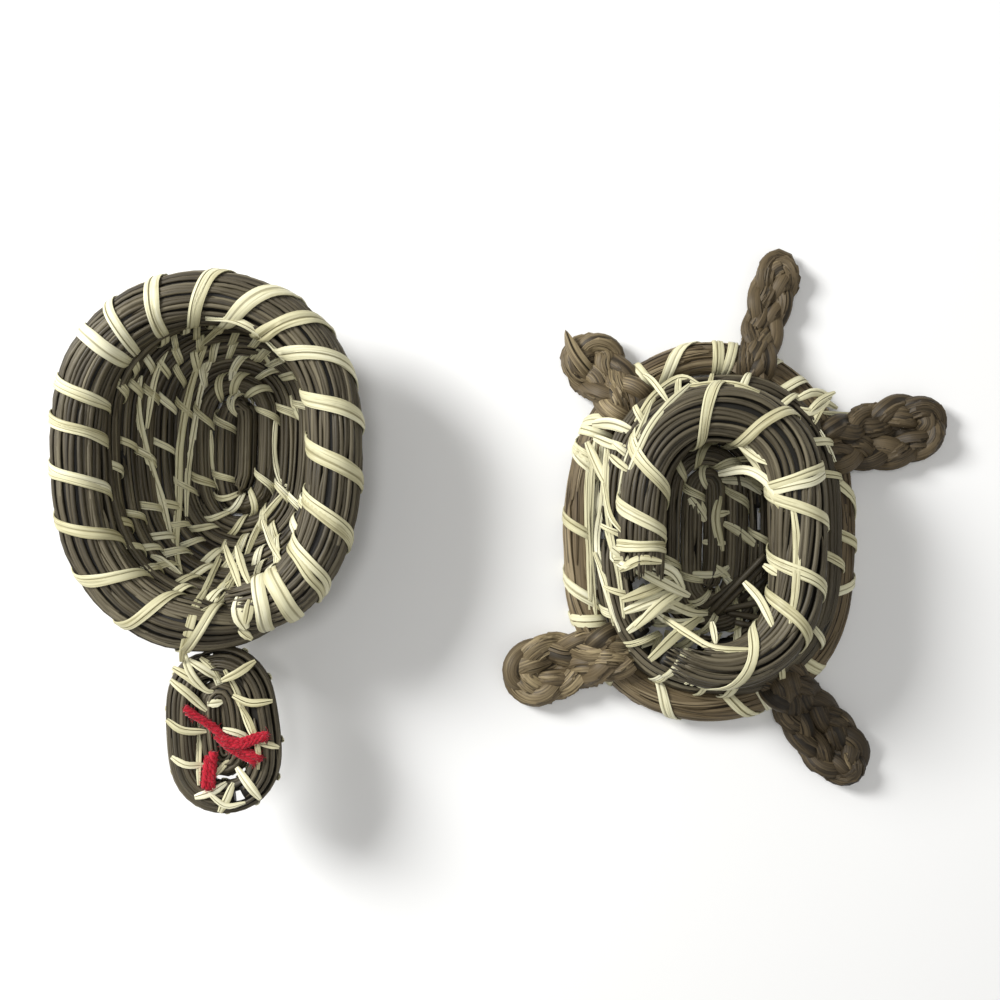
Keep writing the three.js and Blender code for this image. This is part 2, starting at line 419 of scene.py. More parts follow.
def bundle(tangle, coil, count, thickness, twist=0.003, holes=(), ragged=(0, 0)):
    """Fills a coil, with count needles round it. Its ends are ragged over so many millimetres."""
    surface_needles(tangle, coil, count, thickness, twist, holes, ragged)
    for end, heading, reach in ((coil.along[0], 1, ragged[0]), (coil.along[-1], -1, ragged[1])):
        if reach:
            needle_brush(tangle, coil, count, thickness, holes, end, heading, reach)
    painted_shade_core(tangle, coil, thickness, holes, ragged)
    print("a bundle", round(coil.along[-1]), "mm long, with", count, "needles round it")


print("a ragged end shows the inside of its bundle for up to", BRUSH_REACH, "mm")

# %% [markdown]
# ## Raffia
#
# Raffia is a flat strip with a crease along it. It is widest on top of a coil and pulled narrow where it
# goes in between two coils, and its edges aren't parallel. A flat plane would vanish when it is seen from
# its edge, so the strip has a thin section of fourteen corners: seven above and seven below, with the
# crease as a groove between the middle ones.

# %% A strip of raffia
RAFFIA_THICKNESS = 0.24
NARROWING = 0.3  # the share of its length over which an end narrows


def strip_section(path, width, thickness, narrow):
    """Sections of a flat strip: a crease along it, edges that wander, and ends that narrow."""
    along = lengths_along(path)
    share = along / along[-1]
    half = width / 2
    for end, from_end in zip(narrow, (share, 1 - share)):
        half = half * (end + (1 - end) * np.clip(from_end / NARROWING, 0, 1) ** 0.7)
    crease = random.uniform(-0.35, 0.35)
    across = np.array([-1.0, -0.7, crease - 0.15, crease, crease + 0.15, 0.7, 1.0])
    rise = np.array([0.0, 0.55, 0.75, 0.75, 0.75, 0.55, 0.0]) * width * 0.09
    rise[3] -= random.uniform(0.2, 0.9) * thickness * 1.6
    rise += random.uniform(-0.12, 0.12, 7) * thickness * 2
    left = half * (1 + drift(along, 6, 0.13))
    right = half * (1 + drift(along, 6, 0.13))
    wide = np.where(across < 0, left[:, None], right[:, None]) * across
    high = rise + drift(along, 5, 0.06)[:, None]
    top = np.stack([wide, high], axis=-1)
    bottom = np.stack([wide * 0.97, high - thickness], axis=-1)
    # from this number the material paints shade near the crease and towards the edges
    fold = np.concatenate([across[::-1], across]) - crease
    # going round with the upper side taken from right to left keeps the section counter-clockwise
    return np.concatenate([top[:, ::-1], bottom], axis=1), fold


def strip(tangle, path, up, width, thickness=RAFFIA_THICKNESS, narrow=(0.6, 0.6), tone=None):
    tone = random.uniform(0.25, 1.0) if tone is None else tone
    section, fold = strip_section(path, width, thickness, narrow)
    tangle.sweep(path, up, section, tone, fold)


print("a strip of raffia is", RAFFIA_THICKNESS, "mm thick")

# %% [markdown]
# A stitch goes up the outside of a coil, over it and down inside, a little slanted. It is given by two
# lengths along the coil, one outside and one inside, so it follows the coil's round section by itself.
# Wide stitches are often two strips side by side. A stitch also tells the coil where it pulls, so the
# sewing comes before the needles, which then bulge between the stitches.

# %% Stitches over a coil
CLOSEST_SPOKES = 7.5
DOUBLED = 0.45  # the share of the rows' stitches that are two strips
UNDER, OVER = 172, 86  # how far round the coil a stitch of the rows goes, in degrees from its top


def stitch(tangle, coil, outer, inner, width, angles=(-60, 235), lift=0.34, pull=0.3, parts=1):
    """A strip over a coil, from the length outer on its outside to the length inner on its inside."""
    if pull:
        coil.pinches.append((outer, inner, pull))
    steps = max(10, int((angles[1] - angles[0]) * coil.radius_at(outer) / 70))
    angle = np.radians(np.linspace(angles[0], angles[1], steps))
    share = np.clip(angle / math.pi, -0.35, 1.35)
    for part in range(parts):
        aside = (part - (parts - 1) / 2) * width * 0.92 / parts
        along = outer + (inner - outer) * share + aside * (1 + drift(angle * 10, 8, 0.3))
        along = along + drift(angle * coil.radius.mean(), 7, 0.25)
        along = np.clip(along, coil.along[0], coil.along[-1])
        points, away = coil.surface(along, angle, lift + part * 0.05)
        strip(tangle, points, away, width / parts * (1.08 if parts > 1 else 1), narrow=(0.7, 0.5))


def sew_ring(tangle, coil, stitches):
    """Stitches over a ring, each as its turn outside, its turn inside, its width and its strips."""
    for outer, inner, width, parts in stitches:
        stitch(tangle, coil, coil.length_at(outer), coil.length_at(inner), width, parts=parts)
    print(len(stitches), "stitches over a ring", round(coil.along[-1]), "mm long")


def sew_rows(tangle, coil, first, last, spokes, behind):
    """Sews each turn of a coil to the turn before it. The stitches of neighbouring turns line up as
    spokes, and behind gives the angle at which a turn touches the one before it."""
    for number in range(int(first * spokes), int(last * spokes)):
        turn = (number + random.uniform(-0.25, 0.25)) / spokes
        round_length = coil.length_at(turn + 0.5) - coil.length_at(turn - 0.5)
        if round_length / spokes < CLOSEST_SPOKES and number % 2:
            continue
        middle = coil.length_at(turn)
        slant = random.uniform(2.6, 4.6) * min(1, round_length / 110)
        top = behind(turn) - 90
        angle = np.radians(np.linspace(top - UNDER, top + OVER, 24))
        along = middle + slant * (np.degrees(angle) - top) / 110
        coil.pinches.append((middle - slant * 0.8, middle + slant * 0.8, 0.2))
        parts = 2 if random.random() < DOUBLED else 1
        width = random.uniform(1.5, 2.2)
        for part in range(parts):
            aside = (part - (parts - 1) / 2) * width * 0.6
            points, away = coil.surface(np.clip(along + aside, coil.along[0], coil.along[-1]), angle, 0.38)
            strip(tangle, points, away, width / parts * 1.1)
    print("the rows have", len(coil.pinches), "stitches")


print("spokes closer together than", CLOSEST_SPOKES, "mm lose every second stitch")

# %% [markdown]
# Loose strips and braids don't follow a coil. They are given by a few guide points, and a smooth line goes
# through all of them. A curve object would do that too, but its points aren't evenly spaced, and a
# strip whose points bunch up gets uneven creases. So the line is walked again in even steps.


# %% A smooth line through guide points
def curve_through(guides, spacing):
    """A smooth line through guide points, with a point every spacing millimetres."""
    guides = np.asarray(guides, float)
    if len(guides) == 2:
        count = max(4, int(np.linalg.norm(guides[1] - guides[0]) / spacing))
        return guides[0] + (guides[1] - guides[0]) * np.linspace(0, 1, count)[:, None]
    ends = np.vstack([2 * guides[0] - guides[1], guides, 2 * guides[-1] - guides[-2]])
    line = []
    for a, b, c, d in zip(ends, ends[1:], ends[2:], ends[3:]):
        for t in np.linspace(0, 1, 16, endpoint=False):
            bent = (2 * a - 5 * b + 4 * c - d) * t**2 + (3 * b - a - 3 * c + d) * t**3
            line.append(0.5 * (2 * b + (c - a) * t + bent))
    line = np.array(line + [guides[-1]])
    along = lengths_along(line)
    even = np.linspace(0, along[-1], max(4, int(along[-1] / spacing)))
    return np.stack([np.interp(even, along, v) for v in line.T], axis=-1)


print("a bend through 3 guide points gets", len(curve_through([(0, 0), (9, 3), (12, 12)], 1.2)), "points")

# %% [markdown]
# ## Materials
#
# The materials are small programs. A Wire is one output of a shader node, and sums with Wires read like
# sums with numbers: 1 - mask adds a Math node by itself. That keeps the recipe in view, and the boxes and
# threads of the node editor out of it.


# %% Sums with wires
class Wire:
    def __init__(self, shader, socket):
        self.shader, self.socket = shader, socket

    def _sum(self, operation, first, second):
        return self.shader.node("ShaderNodeMath", {"operation": operation}, {0: first, 1: second})

    def __add__(self, other):
        return self._sum("ADD", self, other)

    def __sub__(self, other):
        return self._sum("SUBTRACT", self, other)

    def __rsub__(self, other):
        return self._sum("SUBTRACT", other, self)

    def __mul__(self, other):
        return self._sum("MULTIPLY", self, other)

    __radd__ = __add__
    __rmul__ = __mul__

    def between(self, low, high):
        """0 below low, 1 above high, and smooth in between."""
        limits = {"Value": self, "From Min": low, "From Max": high}
        return self.shader.node("ShaderNodeMapRange", {"interpolation_type": "SMOOTHSTEP"}, limits)


print("wires can be added, subtracted and multiplied, also with numbers on the left")

# %% [markdown]
# A Shader is one material. One method adds any node: its settings come first, because they can change
# which sockets it has, and then the value or the Wire for each socket. The few nodes that every recipe
# needs have a name of their own.


# %% A material and its nodes
class Shader:
    def __init__(self, name):
        self.material = bpy.data.materials.new(name)
        self.material.use_nodes = True
        self.tree = self.material.node_tree
        self.surface = self.tree.nodes["Principled BSDF"]

    def _feed(self, socket, value):
        if isinstance(value, Wire):
            self.tree.links.new(value.socket, socket)
        else:
            socket.default_value = value

    def node(self, kind, settings, inputs, output=0):
        node = self.tree.nodes.new(kind)
        for name, value in settings.items():
            setattr(node, name, value)
        for name, value in inputs.items():
            self._feed(node.inputs[name], value)
        return Wire(self, node.outputs[output])

    def mix(self, share, first, second):
        return self.node("ShaderNodeMix", {"data_type": "RGBA"}, {0: share, 6: first, 7: second}, 2)

    def attribute(self, name, output):
        return self.node("ShaderNodeAttribute", {"attribute_name": name}, {}, output)

    def stretched(self, vector, scale):
        return self.node("ShaderNodeVectorMath", {"operation": "MULTIPLY"}, {0: vector, 1: scale})

    def noise(self, vector, scale, detail, roughness):
        inputs = {"Vector": vector, "Scale": scale, "Detail": detail, "Roughness": roughness}
        return self.node("ShaderNodeTexNoise", {}, inputs)

    def bump(self, height, strength, distance):
        inputs = {"Height": height, "Strength": strength, "Distance": distance}
        return self.node("ShaderNodeBump", {}, inputs)

    def set(self, **values):
        for name, value in values.items():
            self._feed(self.surface.inputs[name.replace("_", " ")], value)


def colour(red, green, blue):
    """A colour as seen on a screen, 0 to 255, as light."""
    def light(value):
        value /= 255
        return value / 12.92 if value <= 0.04045 else ((value + 0.055) / 1.055) ** 2.4

    return (light(red), light(green), light(blue), 1.0)


print("the grey that looks half as bright as white is", round(colour(128, 128, 128)[0], 2), "of its light")

# %% [markdown]
# The fibres of every material run along the strand: noise in the grain's own space, squeezed along the
# length, is a streak. On top of the streaks come slow stains in the basket's space, which run across many
# needles at once, as weathering does. An image could give finer streaks, but it would need each strand
# laid out flat, and the grain is already there. Four colours, from dark to high, are mixed by the shade.

# %% A fibrous finish
FINE_LENGTHWAYS, BROAD_LENGTHWAYS = 0.07, 0.035  # how far streaks are drawn out: less is longer
BROAD_ACROSS = 0.5


def fibrous(name, colours, fibre, streak, stain, rough, bump, sheen=0.0, crease=0.0, spread=0.035, edge=0.0):
    """Crease paints shade into the folds and the crevices, as wide as spread, and edge paints shade at the
    edges of a strip.
    """
    shader = Shader(name)
    dark, low, middle, high = (colour(*parts) for parts in colours)
    grain = shader.attribute("grain", "Vector")
    tone = shader.attribute("tone", "Fac")
    place = shader.node("ShaderNodeTexCoord", {}, {}, "Object")
    fine = shader.noise(shader.stretched(grain, (fibre, fibre, FINE_LENGTHWAYS)), 1.0, 3.0, 0.6)
    broad_scale = (BROAD_ACROSS, BROAD_ACROSS, BROAD_LENGTHWAYS)
    broad = shader.noise(shader.stretched(grain, broad_scale), 1.0, 2.0, 0.5)
    stains = shader.noise(place, stain, 3.0, 0.55)
    blotch = shader.noise(place, stain * 5, 2.0, 0.5)
    shade = tone * 0.62 + broad * 0.45 + (stains - 0.5) * 0.55 + (fine - 0.5) * streak
    paint = shader.mix(shade.between(0.18, 0.62), low, middle)
    paint = shader.mix(shade.between(0.6, 1.05), paint, high)
    # a tone near 0 paints a strand the dark colour; the core of a bundle has tone 0, so it is painted shade
    paint = shader.mix((1 - tone.between(0.0, 0.12)) * 0.9, paint, dark)
    paint = shader.mix((1 - fine.between(0.28, 0.46)) * 0.5, paint, dark)
    paint = shader.mix(blotch.between(0.6, 0.78) * 0.22, paint, dark)
    # painted shade: darker near each crease of a strip or a leaf roll, in the crevices between needles, and
    # towards the edges of a strip
    if crease:
        fold = shader.attribute("fold", "Fac")
        apart = fold * fold
        paint = shader.mix((1 - apart.between(0.0, spread)) * crease, paint, dark)
        if edge:
            paint = shader.mix(apart.between(0.45, 1.3) * edge, paint, low)
    shader.set(Base_Color=paint, Roughness=rough + (fine - 0.5) * 0.25)
    shader.set(Sheen_Weight=sheen, Specular_IOR_Level=0.3)
    shader.set(Normal=shader.bump(fine * 0.7 + broad * 0.3, 0.55, bump))
    print("the finish of", name, "has", len(shader.tree.nodes), "nodes")
    return shader


# %% [markdown]
# Five finishes share the recipe. Needles are a dull grey brown, with shade painted into the crevices between
# them. The leaf of the foot ring is browner and more streaked, and the plaits have the widest range from dark
# to light; both have shade painted into their creases. Raffia is pale, with shade painted along its crease
# and at its edges. Yarn is red and rough, with a little sheen from its fuzz.

# %% Needle, leaf, raffia and yarn
needle_look = fibrous(
    "needles", [(15, 13, 8), (48, 43, 32), (78, 71, 55), (122, 114, 92)],
    fibre=2.6, streak=0.6, stain=28, rough=0.52, bump=0.0002, crease=0.85, spread=0.4,
)
leaf_look = fibrous(
    "leaf", [(26, 19, 11), (68, 56, 38), (106, 92, 67), (146, 132, 104)],
    fibre=2.8, streak=1.0, stain=35, rough=0.58, bump=0.0003, crease=0.7, spread=0.06,
)
braid_look = fibrous(
    "braid", [(18, 14, 8), (54, 45, 31), (92, 79, 57), (158, 142, 108)],
    fibre=2.8, streak=1.0, stain=45, rough=0.56, bump=0.0003, crease=0.75, spread=0.06,
)
raffia_look = fibrous(
    "raffia", [(110, 100, 66), (172, 165, 126), (212, 207, 170), (234, 231, 204)],
    fibre=2.2, streak=0.8, stain=40, rough=0.52, bump=0.0002, crease=0.6, edge=0.4,
)
yarn_look = fibrous(
    "yarn", [(86, 2, 14), (140, 8, 28), (170, 12, 36), (200, 40, 62)],
    fibre=4.0, streak=0.8, stain=60, rough=0.85, bump=0.0002, sheen=0.2,
)

# %% [markdown]
# A finished piece is hung on a body, given its finish, and hides the nodes of the CAD part that it stands
# for. Sewing and yarn hide none, because they lie on other pieces.


# %% A finished piece
def piece(tangle, name, look, nodes=(), sharp=None):
    """Turns a tangle into a finished piece of the basket."""
    obj = bpy.data.objects.new(name, mesh_of(tangle, name, sharp))
    bpy.context.scene.collection.objects.link(obj)
    obj.data.materials.append(look.material)
    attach(obj, "root")
    if nodes:
        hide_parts(*nodes)
    print(name, "has", sum(len(face.vertices) - 2 for face in obj.data.polygons), "triangles")


# %% [markdown]
# ## The shell
#
# The shell is a bowl: a floor that is wound flat, a wall that curves up from it, and a rim coil twice as
# thick. The floor isn't quite under the middle of the rim, so the turns drift sideways as they climb.
# The rows are one coil, as they are one bundle in life, and the rim is another, whose ends overlap.

# %% Where a coil starts and ends
def before(turn, place, reach):
    """1 well before a place on the coil, 0 after it, and smooth over the turns of its reach."""
    return smooth(np.clip((place - turn) / reach, 0, 1))


def after(turn, place, reach):
    return smooth(np.clip((turn - place) / reach, 0, 1))


def first_bend(turn):
    """The first end of a coil sticks out towards the head end, and fills the bend of the next turn."""
    return np.column_stack([0 * turn, -3.6 * np.clip((0.1 - turn) / 0.2, 0, 1)])


print("the first end of a coil lies", -first_bend(np.array([-0.1]))[0, 1], "mm out of the middle")

# %% [markdown]
# The wall is a quarter of an oval that is higher than it is wide. Each turn moves one row on: first over
# the floor, then up the wall. So the angle of the wall says how far out and how high a turn lies.

# %% The coils of the shell
LID_CENTRE = (-77.3, 15.3)
LID_ROW = 5.9  # from one turn to the next
LID_FLOOR = 13.0  # how far out the floor is flat
LID_CURVE = 28.3  # how long the wall is, from the floor up
LID_BELLY, LID_WALL = 15.5, 20.5  # how far out and how high the wall goes
FLOOR_ASIDE = np.array([3.5, 4.0])  # how far the floor lies from the middle of the rim
LEVEL_WITH_RIM = 26.7  # a turn this far up from the floor would be in the middle of the rim again


def lid_climb(turn):
    """The angle of the wall at a turn: 0 on the floor, and a quarter turn at its upper edge."""
    return np.clip((LID_ROW * turn - LID_FLOOR) / LID_CURVE, 0, 1) * math.pi / 2


def lid_rise(turn):
    return LID_WALL * (1 - np.cos(lid_climb(turn)))


lid_oval = Oval(LID_CENTRE, 9.0, egg=0.05)
lid_rows = Coil(
    lid_oval,
    (-0.12, 7.95),
    offset=lambda turn: np.clip(LID_ROW * turn, 0.1, LID_FLOOR) + LID_BELLY * np.sin(lid_climb(turn)),
    height=lambda turn: 3.25 + lid_rise(turn),
    radius=lambda turn: 3.15 + 0.8 * np.clip((turn - 2) / 2.5, 0, 1),
    shift=lambda turn: FLOOR_ASIDE * (1 - lid_rise(turn) / LEVEL_WITH_RIM)[:, None] + first_bend(turn),
)
lid_rim = Coil(
    lid_oval,
    (0.035, 1.13),
    offset=lambda turn: 32.0 - 3.4 * before(turn, 0.13, 0.1) + 2.6 * after(turn, 0.97, 0.12),
    height=lambda turn: 29.8 + 0.6 * before(turn, 0.13, 0.1) - 3.0 * after(turn, 0.96, 0.12),
    radius=lambda turn: 7.15 - 1.2 * before(turn, 0.1, 0.07) - 5.2 * after(turn, 0.965, 0.16),
)
print("the rows and the rim of the shell are", lengths_of(lid_rows, lid_rim), "mm long")

# %% [markdown]
# The rim's stitches are the boldest thing about the basket, and no two of them are alike. So each one is
# given one by one: where it lies outside and inside, in turns from the head end, how wide it is, and whether
# it is two strips. The rows are sewn by rule, because there the eye only sees a texture of spokes.

# %% Sew the shell
LID_RIM_STITCHES = [
    (0.078, 0.089, 3.8, 1),
    (0.109, 0.113, 4.2, 1),
    (0.142, 0.176, 4.4, 2),
    (0.194, 0.228, 4.2, 2),
    (0.239, 0.263, 4.0, 1),
    (0.275, 0.308, 3.6, 1),
    (0.314, 0.382, 3.6, 1),
    (0.366, 0.423, 3.8, 1),
    (0.41, 0.475, 3.8, 1),
    (0.482, 0.521, 3.9, 2),
    (0.548, 0.568, 3.6, 1),
    (0.6, 0.618, 2.9, 1),
    (0.64, 0.64, 3.8, 1),
    (0.69, 0.707, 2.9, 2),
    (0.72, 0.737, 3.0, 2),
    (0.751, 0.772, 3.2, 2),
    (0.785, 0.824, 2.9, 1),
    (0.834, 0.888, 2.9, 1),
    (0.901, 0.952, 2.7, 1),
    (0.973, 1.013, 2.4, 1),
]
lid_raffia = Tangle()
sew_ring(lid_raffia, lid_rim, LID_RIM_STITCHES)
sew_rows(lid_raffia, lid_rows, 0.6, 7.35, 20, lambda turn: 180 + math.degrees(lid_climb(turn)))

# %% [markdown]
# The stitches have told both coils where they pull, so the needles can follow. Those of the rim twist a
# little round it, and its ends are ragged.

# %% Fill the shell with needles
lid_needles = Tangle()
bundle(lid_needles, lid_rows, 17, 1.25)
bundle(lid_needles, lid_rim, 43, 1.25, twist=-0.005, ragged=(3, 2))
piece(lid_needles, "shell_needles", needle_look, ["lid_shell"])

# %% [markdown]
# ## The lower half
#
# The basket is coiled the same way. Its wall leans in, and the ring round its mouth is thick by the tail
# and thin at the head end. It is bent here and there, so a rule can't give the wall: its place is
# listed for a few turns, and it bulges between them at the sides and at the ends. The ring is broken, its
# needles end in a ragged brush, and by the break the floor has holes that the needles stop short of.

# %% The coils of the lower half
WALL_TURNS = [0.02, 3.0, 3.6, 4.1, 4.9, 5.4, 5.9]
WALL_OFFSET = [0.1, 18.3, 24.0, 25.9, 23.2, 22.6, 21.6]
WALL_HEIGHT = [3.2, 3.2, 5.2, 7.6, 14.6, 16.4, 18.6]
WALL_RADIUS = [3.1, 3.1, 4.0, 4.6, 4.5, 4.4, 3.0]
RING_TURNS = [-0.095, 0.0, 0.12, 0.25, 0.5, 0.65, 0.75, 0.835]
RING_RADIUS = [5.4, 6.0, 7.0, 7.8, 8.0, 7.2, 6.4, 5.8]


def wall_offset(turn):
    rightwards, endwards = np.sin(TURN * turn), np.abs(np.cos(TURN * turn))
    right = np.interp(turn, [3.4, 4.0, 4.6, 5.2], [0, 5.0, 5.0, 0]) * np.clip(rightwards, 0, 1)
    left = np.interp(turn, [2.9, 3.6, 4.9, 5.4], [0, 2.0, 1.8, 0]) * np.clip(-rightwards, 0, 1)
    ends = np.interp(turn, [3.3, 3.8, 4.7, 5.1], [0, 1.0, 1.0, 0]) * endwards
    return np.interp(turn, WALL_TURNS, WALL_OFFSET) + right + left + ends


def ring_radius(turn):
    return np.interp(turn, RING_TURNS, RING_RADIUS)


base_oval = Oval((52.28, -3.24), 12.0)
base_rows = Coil(
    base_oval,
    (-0.12, 5.9),
    offset=wall_offset,
    height=lambda turn: np.interp(turn, WALL_TURNS, WALL_HEIGHT),
    radius=lambda turn: np.interp(turn, WALL_TURNS, WALL_RADIUS),
    shift=first_bend,
)
base_ring = Coil(
    base_oval,
    (-0.095, 0.785),
    offset=lambda turn: 27.0 - ring_radius(turn),
    height=lambda turn: 33.2 - ring_radius(turn),
    radius=lambda turn: ring_radius(turn) - 0.1,
)
print("the rows and the ring of the lower half are", lengths_of(base_rows, base_ring), "mm long")

# %% [markdown]
# It is sewn like the shell. The angle at which a turn touches the one before it changes where the floor
# becomes the wall, and again where the wall leans in.

# %% Sew the lower half
BASE_RING_STITCHES = [
    (-0.016, 0.104, 2.8, 1),
    (0.137, 0.196, 3.0, 1),
    (0.203, 0.237, 2.9, 2),
    (0.256, 0.284, 2.8, 1),
    (0.303, 0.288, 4.2, 2),
    (0.38, 0.453, 3.0, 1),
    (0.505, 0.588, 3.2, 2),
    (0.658, 0.724, 3.2, 2),
    (0.727, 0.752, 3.2, 1),
    (0.756, 0.758, 3.0, 2),
]
base_raffia = Tangle()
sew_ring(base_raffia, base_ring, BASE_RING_STITCHES)
sew_rows(base_raffia, base_rows, 0.6, 5.8, 17, lambda turn: np.interp(turn, [3.0, 4.1, 4.6], [180, 245, 290]))

# %% [markdown]
# The holes are outlined as they are seen from above, on the level of the rims. Some are only dark gaps
# beside the break, and through the largest the table shows.

# %% Fill the lower half with needles
BASE_HOLES = [
    [(30.6, -28.3), (36.6, -23.8), (41.6, -27.6), (34.1, -34.8)],
    [(27.8, -16.1), (31.1, -14.1), (35.1, -14.3), (34.1, -16.8), (29.8, -17.3)],
    [(44.3, -25.3), (48.3, -25.0), (48.6, -27.6), (45.0, -27.8)],
    [(42.3, -28.6), (44.6, -29.4), (46.8, -32.0), (44.0, -32.4)],
    [(51.0, -27.3), (53.0, -27.0), (53.2, -30.2), (51.4, -30.4)],
    [(59.7, 3.6), (61.2, 3.2), (61.5, -1.2), (60.1, -0.8)],
    [(21.4, -0.4), (24.4, -0.6), (24.4, -3.6), (21.6, -3.6)],
]
base_needles = Tangle()
bundle(base_needles, base_rows, 18, 1.3, holes=BASE_HOLES)
bundle(base_needles, base_ring, 41, 1.28, twist=-0.011, holes=BASE_HOLES, ragged=(4, 6))

# %% [markdown]
# Inside lie a few cut stems. They are straight, stiff and darker than the needles, and cross each other.
# A cylinder would do for each, but a strand brings its grain with it, so each is one between two points.

# %% The cut stems
STEMS = [
    [(51.5, -23.9, 11), (65.3, -8.7, 15)],
    [(52.5, -23.0, 9.5), (64.3, -10.1, 13)],
    [(53.3, -24.5, 10), (66.3, -10.1, 13.5)],
    [(54.8, -23.4, 10), (72.6, -19.7, 11)],
    [(59.8, -22.5, 9), (74.0, -18.1, 11)],
    [(50.8, -22.5, 8.5), (59.6, -15.0, 10)],
    [(56.6, -24.1, 9), (70.4, -26.7, 9)],
    [(58.6, -26.8, 8), (70.9, -29.4, 9)],
    [(60.0, -20.9, 8), (67.7, -14.2, 9)],
]
for ends in STEMS:
    section = circle(7, 0.8, 0.7) * random.uniform(0.85, 1.15)
    base_needles.sweep(curve_through(ends, 2.0), UPRIGHT, section, random.uniform(0.1, 0.35))
piece(base_needles, "base_needles", needle_look, ["base_basket"])

# %% [markdown]
# ## The head
#
# The head is a flat coil of two loops, sewn to the rim of the shell. This is its underside, so the yarn
# of the face shows only as the long floats behind an embroidery. One coil could make both loops. They are
# made as two, so that each has a slope and a thickness of its own. Two gaps let the table show.

# %% The loops of the head
head_outer = Coil(
    Oval((-73.8, -52.0), 7.0, egg=-0.06, lean=5),
    (0.52, 1.56),
    offset=lambda turn: 10.2 - 1.2 * before(turn, 0.62, 0.1),
    height=lambda turn: 26.6 + 0.4 * np.sin(turn * 9),
    radius=lambda turn: 4.2 - 0.8 * after(turn, 1.46, 0.1),
)
head_inner = Coil(
    Oval((-73.8, -51.6), 6.2, egg=-0.06, lean=5),
    (-0.1, 1.45),
    offset=lambda turn: 3.3 - 1.1 * np.clip(0.4 - turn, 0, 0.3),
    height=lambda turn: 26.2 - 1.5 * np.clip(turn - 0.9, 0, 1),
    radius=lambda turn: np.full_like(turn, 3.3),
)
HEAD_HOLES = [
    [(-70.9, -66.8), (-68.6, -66.3), (-67.6, -68.2), (-69.4, -69.8)],
    [(-66.6, -46.0), (-65.6, -46.0), (-64.7, -58.0), (-65.4, -58.0)],
]
head_needles = Tangle()
bundle(head_needles, head_outer, 23, 1.15, ragged=(2, 3), holes=HEAD_HOLES)
bundle(head_needles, head_inner, 18, 1.1, ragged=(2, 3), holes=HEAD_HOLES)
piece(head_needles, "head_needles", needle_look, ["lid_head"])

# %% [markdown]
# ## The foot ring
#
# The foot is made of a broad leaf and not of needles. A strip of leaf that is rolled up shows its edges as
# long steps, and its surface as flat facets between creases. A displaced tube would have soft lumps
# there. So the section itself is a ring of steps, which turns slowly as the roll twists, and each step
# has a crease somewhere on its way up.


# %% A roll of leaf
def leaf_roll(tangle, path, width, height, folds, twist, tone, depth, sides):
    """Rolled leaf: its section has a step where each fold of the leaf lies on the next."""
    along = lengths_along(path)
    angle = np.arange(sides) / sides * TURN
    edges = np.sort(random.uniform(0, TURN, folds))
    turned = angle[None] - (twist * along + drift(along, 12, 0.25))[:, None]
    rise = np.zeros_like(turned)
    for edge, next_edge in zip(edges, np.append(edges[1:], edges[0] + TURN)):
        share = ((turned - edge) % TURN) / (next_edge - edge)
        crease = random.uniform(0.2, 0.7)
        ramp = share - 0.35 * np.exp(-(((share - crease) / 0.09) ** 2))
        rise = np.where(share < 1, ramp * random.uniform(0.7, 1.2), rise)
    girth = 1 + drift(along, 9, 0.07)
    size = (1 - depth / 2 + depth * rise) * girth[:, None]
    section = np.dstack([np.cos(angle) * size * width, np.sin(angle) * size * height])
    # the fold is low at the foot of each step and in its crease, where the material paints shade
    tangle.sweep(path, UPRIGHT, section, tone, np.clip(rise, 0, 1) * 1.2)


FOOT_RING_START = 0.31
foot_ring = Coil(
    base_oval,
    (FOOT_RING_START, 1.335),
    offset=lambda turn: 34.7 + 0.5 * np.sin(turn * 17),
    height=lambda turn: 4.0 + 0.15 * np.sin(turn * 23),
    radius=lambda turn: np.full_like(turn, 3.75),
)
leaf_ring = Tangle()
ring_path = foot_ring.between(foot_ring.points, np.linspace(0, foot_ring.along[-1], 150))
leaf_roll(leaf_ring, ring_path, 3.9, 3.75, folds=11, twist=0.012, tone=0.45, depth=0.22, sides=52)
print("the foot ring is", round(foot_ring.along[-1]), "mm long")

# %% [markdown]
# Over the roll lie thin strips of the same leaf. They could be painted on, but their edges catch the
# light, so they are strips of their own. Each starts anywhere on the ring and wanders a little round it,
# and on the right they are darker, as the ring is there.

# %% Splinters of leaf on the foot ring
SPLINTERS = 44
SHADED_FROM = 66  # the darker stretch of the ring is to the right of this
for _ in range(SPLINTERS):
    begin = random.uniform(0, foot_ring.along[-1] - 60)
    along = np.linspace(begin, begin + random.uniform(35, 60), 30)
    angle = random.uniform(-0.6, 3.3) + drift(along, 40, 0.5)
    points, away = foot_ring.surface(along, angle, 0.3 + drift(along, 20, 0.2))
    shade = 0.55 if points[:, 0].mean() > SHADED_FROM else 1
    width = random.uniform(1.4, 3.6)
    strip(leaf_ring, points, away, width, 0.3, (0.25, 0.25), random.uniform(0.12, 1.0) * shade)
piece(leaf_ring, "foot_ring_leaf", leaf_look, ["foot_ring"], sharp=38)

# %% [markdown]
# ## The feet and the tail
#
# The feet and the tail are plaits of three rolled strips. In a plait each strand swings from side to side
# once while it dips twice, and each is a third of the way behind the last. That is two sines, so no
# crossing has to be drawn by hand. A few loose edges of leaf break up the regular pattern.

# %% A plait of leaf
FLATNESS = 0.74
SWAY, DIP = 0.85, 0.52  # how far a strand swings sideways, and up and down, in sizes of the plait
LOOSE_EDGES = 4


